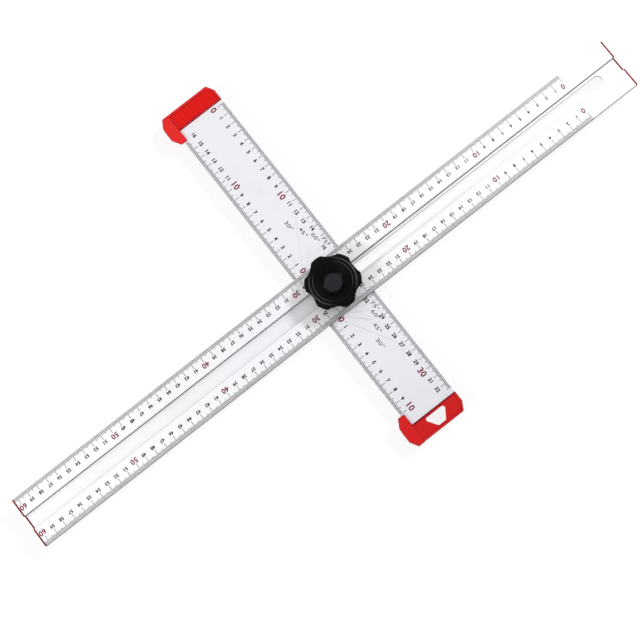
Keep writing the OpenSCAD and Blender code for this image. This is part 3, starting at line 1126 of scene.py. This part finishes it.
@dataclass
class HeadBlade:
    """The cross head's blade with its three scales, its angle lines, its angle labels and painted shadow
    lines at the caps.
    """

    half_width: float = 25.0
    top: float = 3.0
    bevel: float = 0.15
    shift: float = 0.7
    upper_zero: float = 192.3
    rule_edge: float = 25.0
    upper_cap_y: float = 197.2
    lower_cap_y: float = -137.8
    seam_width: float = 0.6
    leg_inner_x: float = -22.0
    line_width: float = 0.18
    line_reach: float = 25.6
    label_height: float = 3.6
    label_widen: float = 1.5
    labels: tuple[tuple[int, Flat, Flat, float], ...] = (
        (75, (18.7, 36.7), (17.2, -35.5), 15.0),
        (60, (13.7, 44.7), (12.8, -42.0), 10.5),
        (45, (8.0, 55.3), (6.9, -52.1), 7.5),
        (30, (1.6, 67.7), (0.5, -64.5), 12.6),
    )

    def build(self, lettering: Lettering) -> None:
        """Builds the blade, its print and the painted shadow lines at the caps.

        Args:
            lettering: The maker of the numerals.
        """
        place_copy("head_blade", "blade_plate", "head", BLADE_ALLOY, "blade_alloy", self.bevel)
        black, faint, grey = (PrintLayer(self.top, lettering) for _ in range(3))
        crimson = PrintLayer(self.top, lettering, TENS_WEIGHT)
        plum = PrintLayer(self.top, lettering, LABEL_WEIGHT)
        for edge in self.edges():
            edge.draw(black, crimson)
        for angle, upper, lower, end_x in self.labels:
            for side, place, layer in ((1.0, upper, faint), (-1.0, lower, grey)):
                plum.label(f"{angle}°", place, (0.0, -1.0), self.label_height, self.label_widen)
                self.angle_line(layer, math.radians(angle), side, end_x)
        # Painted shadow: a dark line in the crimson ink on the blade where it goes into each cap.
        right = self.half_width - self.bevel
        for y, side in ((self.upper_cap_y, -1.0), (self.lower_cap_y, 1.0)):
            middle = y + side * self.seam_width / 2
            crimson.line((self.leg_inner_x, middle), (right, middle), self.seam_width)
        black.finish("head_scale_black", "head", BLACK_INK)
        crimson.finish("head_scale_crimson", "head", CRIMSON_INK)
        plum.finish("head_angle_labels", "head", PLUM_INK)
        faint.finish("head_upper_angle_lines", "head", FAINT_INK)
        grey.finish("head_lower_angle_lines", "head", GREY_INK)

    def edges(self) -> list[ScaleEdge]:
        """Lays out the scales along the head's edges.

        Returns:
            One scale along the whole +X edge and two on the -X edge, from the rule's edges outwards.
        """
        look = {
            "reading": (0.0, -1.0), "short_tick": 3.2, "whole_tick": 7.3,
            "numeral_gap": 8.8, "numeral_height": 3.7, "tens_height": 6.0,
        }
        x = self.half_width
        return [
            ScaleEdge(
                (x, self.upper_zero + self.shift), (0.0, -1.0), (-1.0, 0.0), centimetres=32,
                last_tick=325, nudged=(14, 24), blank=(15, 18, 19, 20, 21, 23), **look,
            ),
            ScaleEdge(
                (-x, self.rule_edge + self.shift), (0.0, 1.0), (1.0, 0.0), centimetres=16,
                last_tick=158, zero_nudge=2.4, **look,
            ),
            ScaleEdge(
                (-x, self.shift - self.rule_edge), (0.0, -1.0), (1.0, 0.0), centimetres=10,
                zero_nudge=2.6, **look,
            ),
        ]

    def angle_line(self, layer: PrintLayer, angle: float, side: float, end_x: float) -> None:
        """Prints the line along which the rule's edge lies at an angle to the head.

        Args:
            layer: The layer it goes on.
            angle: The angle to the head's length, in radians.
            side: 1 above the rule and -1 below it.
            end_x: Where the line ends across the head.
        """
        along = Vector((math.sin(angle), math.cos(angle)))
        foot = Vector((-math.cos(angle), math.sin(angle))) * self.line_reach
        start = (self.line_reach - foot.y) / along.y
        end = (end_x - foot.x) / along.x
        points = [foot + along * distance for distance in (start, end)]
        first, last = ((point.x, side * point.y) for point in points)
        layer.line(first, last, self.line_width)


@dataclass
class HookCap:
    """One red end cap of the head with its leg."""

    node: str
    finish: Finish
    slot: str
    bevel: float = 0.3
    segments: int = 3
    shortest_edge: float = 0.3

    def build(self) -> None:
        """Builds the moulding from its CAD node with rounded edges."""
        rounding = (self.bevel, self.segments, self.shortest_edge)
        place_copy(self.node, f"{self.node}_moulding", "head", self.finish, self.slot, *rounding)


@dataclass
class ClampKnob:
    """The six-lobed knob with its dish, the cap plug and the bore for the threaded insert."""

    radius: float = 25.2
    flute_radius: float = 22.3
    draft: float = 8.0
    lobes: int = 6
    lobe_face: float = 12.2
    first_lobe: float = 90.0
    corner_blend: float = 1.4
    edge_blend: float = 0.8
    skirt: float = 10.4
    skirt_bevel: float = 0.6
    top: float = 31.4
    rim_outer: float = 19.5
    rim_inner: float = 17.5
    rim_round: float = 0.45
    shoulder_radius: float = 2.5
    lobe_slope: float = 36.0
    dish: float = 24.4
    dish_floor: float = 8.5
    plug_radius: float = 7.9
    plug_bottom: float = 23.0
    plug_gap: float = 0.08
    plug_edge: float = 0.35
    plug_segments: int = 96
    hub_bottom: float = 12.4
    hub_radius: float = 9.5
    insert_radius: float = 6.0
    pocket_radius: float = 17.0
    pocket_top: float = 21.4
    thrust_room: float = 13.0
    rib_thickness: float = 1.8
    overlap: float = 0.2
    crease: float = 50.0
    segments: int = 192
    round_steps: int = 4
    side_steps: int = 10
    lobe_steps: int = 14
    lip_steps: int = 5
    wall_steps: int = 8

    def star(self, angle: float, height: float) -> float:
        """The distance from the axis to the knob's fluted side.

        Args:
            angle: The angle round the axis, in radians.
            height: The level, because the flutes are cones that widen towards the skirt.

        Returns:
            The distance in millimetres.
        """
        face_half = math.asin(self.lobe_face / (2 * self.radius))
        flute_half = math.pi / self.lobes - face_half
        chord = self.radius * math.sin(flute_half)
        sagitta = self.radius * math.cos(flute_half) - self.flute_radius
        bend = (chord**2 + sagitta**2) / (2 * sagitta)
        centre = self.flute_radius + bend
        bend += (self.top - height) * math.tan(math.radians(self.draft))
        step = WHOLE_TURN / self.lobes
        turn = (angle - math.radians(self.first_lobe)) % step - step / 2
        inside = bend**2 - (centre * math.sin(turn)) ** 2
        flute = centre * math.cos(turn) - math.sqrt(inside) if inside > 0 else 2 * self.radius
        return soft_min(self.radius, flute, self.corner_blend)

    def shape_ring(self, ring: Ring, angle: float) -> float:
        """The radius of a ring at an angle: the lobed rings keep inside the fluted side.

        Args:
            ring: The ring.
            angle: The angle round the axis, in radians.

        Returns:
            The radius in millimetres.
        """
        if ring.outline is Outline.LOBED:
            return soft_min(ring.radius, self.star(angle, ring.height), self.edge_blend)
        return ring.radius

    def rings(self) -> list[Ring]:
        """Draws the knob's half section.

        Returns:
            Its rings, from the skirt over the top and back through the underside.
        """
        slope = math.radians(self.lobe_slope)
        shoulder_end = self.rim_outer + self.shoulder_radius * math.sin(slope)
        shoulder_drop = self.shoulder_radius * (1 - math.cos(slope))
        lobe_top = self.top - shoulder_drop - (self.radius - shoulder_end) * math.tan(slope)
        skirt_top = self.skirt + self.skirt_bevel
        skirt_radius = self.radius - (lobe_top - skirt_top) * math.tan(math.radians(self.draft))
        skirt_centre = (skirt_radius - self.skirt_bevel, skirt_top)
        skirt = arc(skirt_centre, self.skirt_bevel, -90.0, 0.0, self.round_steps)
        side = straight((skirt_radius, skirt_top), (self.radius, lobe_top), self.side_steps)[1:-1]
        lobe = straight((self.radius, lobe_top), (shoulder_end, self.top - shoulder_drop), self.lobe_steps)
        centre = (self.rim_outer, self.top - self.shoulder_radius)
        shoulder = arc(centre, self.shoulder_radius, 90.0 - self.lobe_slope, 90.0, self.side_steps)[1:]
        outer = [Ring(radius, height, Outline.LOBED) for radius, height in skirt + side + lobe + shoulder]
        rise = math.degrees(math.atan2(self.top - self.dish, self.rim_inner - self.dish_floor))
        rim_x = self.rim_inner + self.rim_round * math.tan(math.radians(rise / 2))
        lip = arc((rim_x, self.top - self.rim_round), self.rim_round, 90.0, 90.0 + rise, self.lip_steps)
        wall = straight(lip[-1], (self.dish_floor, self.dish), self.wall_steps)[1:]
        inner = [
            (self.plug_radius, self.dish), (self.plug_radius, self.plug_bottom),
            (self.insert_radius, self.plug_bottom), (self.insert_radius, self.hub_bottom),
            (self.hub_radius, self.hub_bottom), (self.hub_radius, self.pocket_top),
            (self.pocket_radius, self.pocket_top), (self.pocket_radius, self.skirt),
        ]
        return outer + [Ring(radius, height) for radius, height in lip + wall + inner]

    def build(self) -> None:
        """Builds the knob with the ribs in its underside and the bore for the insert, and the plug."""
        bm = turned(self.rings(), self.segments, self.shape_ring)
        reach = self.pocket_radius - self.hub_radius
        foot = self.pocket_radius - self.thrust_room
        for lobe in range(self.lobes):
            turn = Matrix.Rotation(math.radians(self.first_lobe) + WHOLE_TURN * lobe / self.lobes, 4, "Z")
            for inner, length, low, high in (
                (self.hub_radius, reach, self.hub_bottom, self.pocket_top),
                (self.thrust_room, foot, self.skirt, self.hub_bottom + self.overlap),
            ):
                centre = Vector((inner + length / 2, 0.0, (low + high) / 2))
                size = Matrix.Diagonal((length + self.overlap, self.rib_thickness, high - low, 1.0))
                bmesh.ops.create_cube(bm, size=1.0, matrix=turn @ Matrix.Translation(centre) @ size)
        place_piece(bm, "knob_moulding", "knob", KNOB_BLACK, ["knob_body"], self.crease)
        radius = self.plug_radius - self.plug_gap
        centre = (radius - self.plug_edge, self.dish - self.plug_edge)
        disc = [(radius, self.plug_bottom)] + arc(centre, self.plug_edge, 0.0, 90.0, self.round_steps)
        plug = turned([Ring(*point) for point in disc], self.plug_segments, hollow=False)
        place_piece(plug, "knob_plug", "knob", PLUG_GREY, ["knob_cap_plug"])


def soft_min(first: float, second: float, blend: float) -> float:
    """The smaller of two lengths, rounded off where they are within the blend of each other."""
    nearness = max(blend - abs(first - second), 0.0) / blend
    return min(first, second) - nearness * nearness * blend / 4


@dataclass
class ClampStack:
    """What the knob clamps: the stud, the slide block and the washers, and the cap screws."""

    stud_radius: float = 3.0
    stud_top: float = 22.0
    foot_sides: int = 6
    foot_flats: float = 11.0
    foot_height: float = 1.6
    pitch: float = 1.0
    thread_depth: float = 0.55
    thread_start: float = 3.6
    steps_per_pitch: int = 8
    tip_bevel: float = 0.8
    segments: int = 48
    block_bevel: float = 0.25

    def shape_stud(self, ring: Ring, angle: float) -> float:
        """The stud's radius at an angle: hexagonal at the foot, a helical groove on the thread.

        Args:
            ring: The ring.
            angle: The angle round the axis, in radians.

        Returns:
            The radius in millimetres.
        """
        if ring.outline is Outline.HEXAGON:
            side = WHOLE_TURN / self.foot_sides
            return ring.radius / math.cos(angle % side - side / 2)
        if ring.outline is Outline.THREAD:
            phase = (ring.height / self.pitch - angle / WHOLE_TURN) % 1.0
            return ring.radius - self.thread_depth * abs(2 * phase - 1)
        return ring.radius

    def build(self) -> None:
        """Builds the stud and the rounded block, and dresses the plain washers and screws."""
        half = self.foot_flats / 2
        rings = [
            Ring(half, 0.0, Outline.HEXAGON), Ring(half, self.foot_height, Outline.HEXAGON),
            Ring(self.stud_radius, self.foot_height), Ring(self.stud_radius, self.thread_start),
        ]
        shank = self.stud_top - self.tip_bevel - self.thread_start
        count = round(shank / self.pitch * self.steps_per_pitch)
        heights = [self.thread_start + shank * step / count for step in range(1, count)]
        rings += [Ring(self.stud_radius, height, Outline.THREAD) for height in heights]
        rings += [
            Ring(self.stud_radius - self.thread_depth, self.stud_top - self.tip_bevel),
            Ring(self.stud_radius - self.tip_bevel, self.stud_top),
        ]
        stud = turned(rings, self.segments, self.shape_stud, hollow=False)
        place_piece(stud, "clamp_stud_thread", "head", ZINC_STEEL, ["clamp_stud"])
        bevel = self.block_bevel
        place_copy("slide_block", "slide_block_moulding", "slider", SLIDE_GREY, "slide_plastic", bevel)
        place_copy("thrust_washer", "thrust_washer_turned", "washer", ZINC_STEEL, "steel", bevel)
        plain = {
            "swivel_washer": SLIDE_GREY,
            "washer_snap_ring": ZINC_STEEL,
            "upper_cap_screws": ZINC_STEEL,
            "lower_cap_screws": ZINC_STEEL,
            "knob_insert": TURNED_BRASS,
        }
        for node, finish in plain.items():
            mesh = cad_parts[node].data
            mesh.materials.clear()
            mesh.materials.append(finish.material())
            LOG.info("%s: CAD node, finish %s", node, finish.name)


@dataclass(frozen=True)
class SoftLight:
    """A square studio lamp aimed at the object."""

    name: str
    place: tuple[float, float, float]
    side: float
    power: float

    def build(self, target: Vector) -> None:
        """Hangs the lamp.

        Args:
            target: The point that it is aimed at.
        """
        lamp = bpy.data.lights.new(self.name, "AREA")
        lamp.shape = "SQUARE"
        lamp.size = self.side
        lamp.energy = self.power
        holder = new_object(self.name, lamp)
        holder.location = self.place
        holder.rotation_euler = (target - Vector(self.place)).to_track_quat("-Z", "Y").to_euler()


@dataclass
class Studio:
    """The camera, the lamps, the white surroundings and the floor. Its places are in metres."""

    camera_place: tuple[float, float, float] = (-0.07856, -0.21825, 1.38102)
    camera_target: tuple[float, float, float] = (-0.02849, -0.01618, 0.006)
    camera_up: tuple[float, float, float] = (0.6149, 0.7767, 0.1365)
    lens: float = 89.588
    sensor: float = 36.0
    clip: Flat = (0.05, 50.0)
    floor_z: float = -0.0101
    floor_radius: float = 4.0
    floor_sides: int = 64
    fill: float = 0.36
    floor_bounce: float = 0.4
    floor_glow: float = 0.84
    floor_shade: float = 0.2
    lamps: tuple[SoftLight, ...] = (
        SoftLight("right_lamp", (2.0, 0.2, 1.9), 0.5, 40.0),
        SoftLight("left_lamp", (-2.0, -0.1, 1.8), 0.5, 26.0),
        SoftLight("back_lamp", (0.0, 2.6, 2.2), 1.2, 2.0),
    )

    def build_camera(self) -> None:
        """Sets the camera where the photograph was taken from."""
        eye, target = Vector(self.camera_place), Vector(self.camera_target)
        ahead = (target - eye).normalized()
        right = ahead.cross(Vector(self.camera_up)).normalized()
        up = right.cross(ahead)
        data = bpy.data.cameras.new("camera")
        data.sensor_width = self.sensor
        data.lens = self.lens
        data.clip_start, data.clip_end = self.clip
        camera = new_object("camera", data)
        camera.matrix_world = Matrix.Translation(eye) @ Matrix((right, up, -ahead)).transposed().to_4x4()
        bpy.context.scene.camera = camera

    def build(self) -> None:
        """Lights the scene and lays the floor."""
        bpy.context.scene.view_settings.view_transform = "Standard"
        for lamp in self.lamps:
            lamp.build(Vector(self.camera_target))
        world = bpy.data.worlds.new("surroundings")
        bpy.context.scene.world = world
        world.use_nodes = True
        graph = Graph(world.node_tree)
        strength = graph.math("MULTIPLY_ADD", self.seen_rays(graph), 1.0 - self.fill, self.fill)
        graph.shade("Color", WHITE)
        graph.shade("Strength", strength)
        bm = bmesh.new()
        bmesh.ops.create_circle(bm, cap_ends=True, radius=self.floor_radius, segments=self.floor_sides)
        bmesh.ops.translate(bm, vec=(0.0, 0.0, self.floor_z), verts=bm.verts)
        mesh = bpy.data.meshes.new("floor")
        bm.to_mesh(mesh)
        bm.free()
        mesh.materials.append(self.floor_material())
        floor = new_object("floor", mesh)

    @staticmethod
    def seen_rays(graph: Graph) -> Socket:
        """1 for rays that show the surroundings: from the camera, in gloss and through glass.

        Args:
            graph: The nodes of the material or the surroundings.

        Returns:
            The socket with the 1 or 0.
        """
        path = graph.add("ShaderNodeLightPath")
        seen = graph.math("MAXIMUM", path.outputs["Is Camera Ray"], path.outputs["Is Glossy Ray"])
        return graph.math("MAXIMUM", seen, path.outputs["Is Transmission Ray"])

    def floor_material(self) -> bpy.types.Material:
        """Makes white paper that keeps a soft shadow.

        Returns:
            The material.
        """
        made = bpy.data.materials.new("floor_paper")
        made.use_nodes = True
        graph = Graph(made.node_tree)
        seen = self.seen_rays(graph)
        shade = graph.blend(seen, (self.floor_bounce,) * 3, (self.floor_shade,) * 3)
        graph.shade("Base Color", shade)
        graph.shade("Roughness", 1.0)
        graph.shade("Specular IOR Level", 0.0)
        graph.shade("Emission Color", WHITE)
        graph.shade("Emission Strength", graph.math("MULTIPLY", seen, self.floor_glow))
        return made


def main() -> None:
    """Builds the camera, the object's pieces and the studio."""
    logging.basicConfig(level=logging.INFO, format="%(name)s: %(message)s")
    studio = Studio()
    studio.build_camera()
    lettering = Lettering()
    LongRule().build(lettering)
    HeadBlade().build(lettering)
    lettering.clear()
    HookCap("upper_hook_cap", UPPER_RED, "red_plastic").build()
    HookCap("lower_hook_cap", LOWER_RED, "deep_red_plastic").build()
    ClampKnob().build()
    ClampStack().build()
    studio.build()


if __name__ == "__main__":
    main()
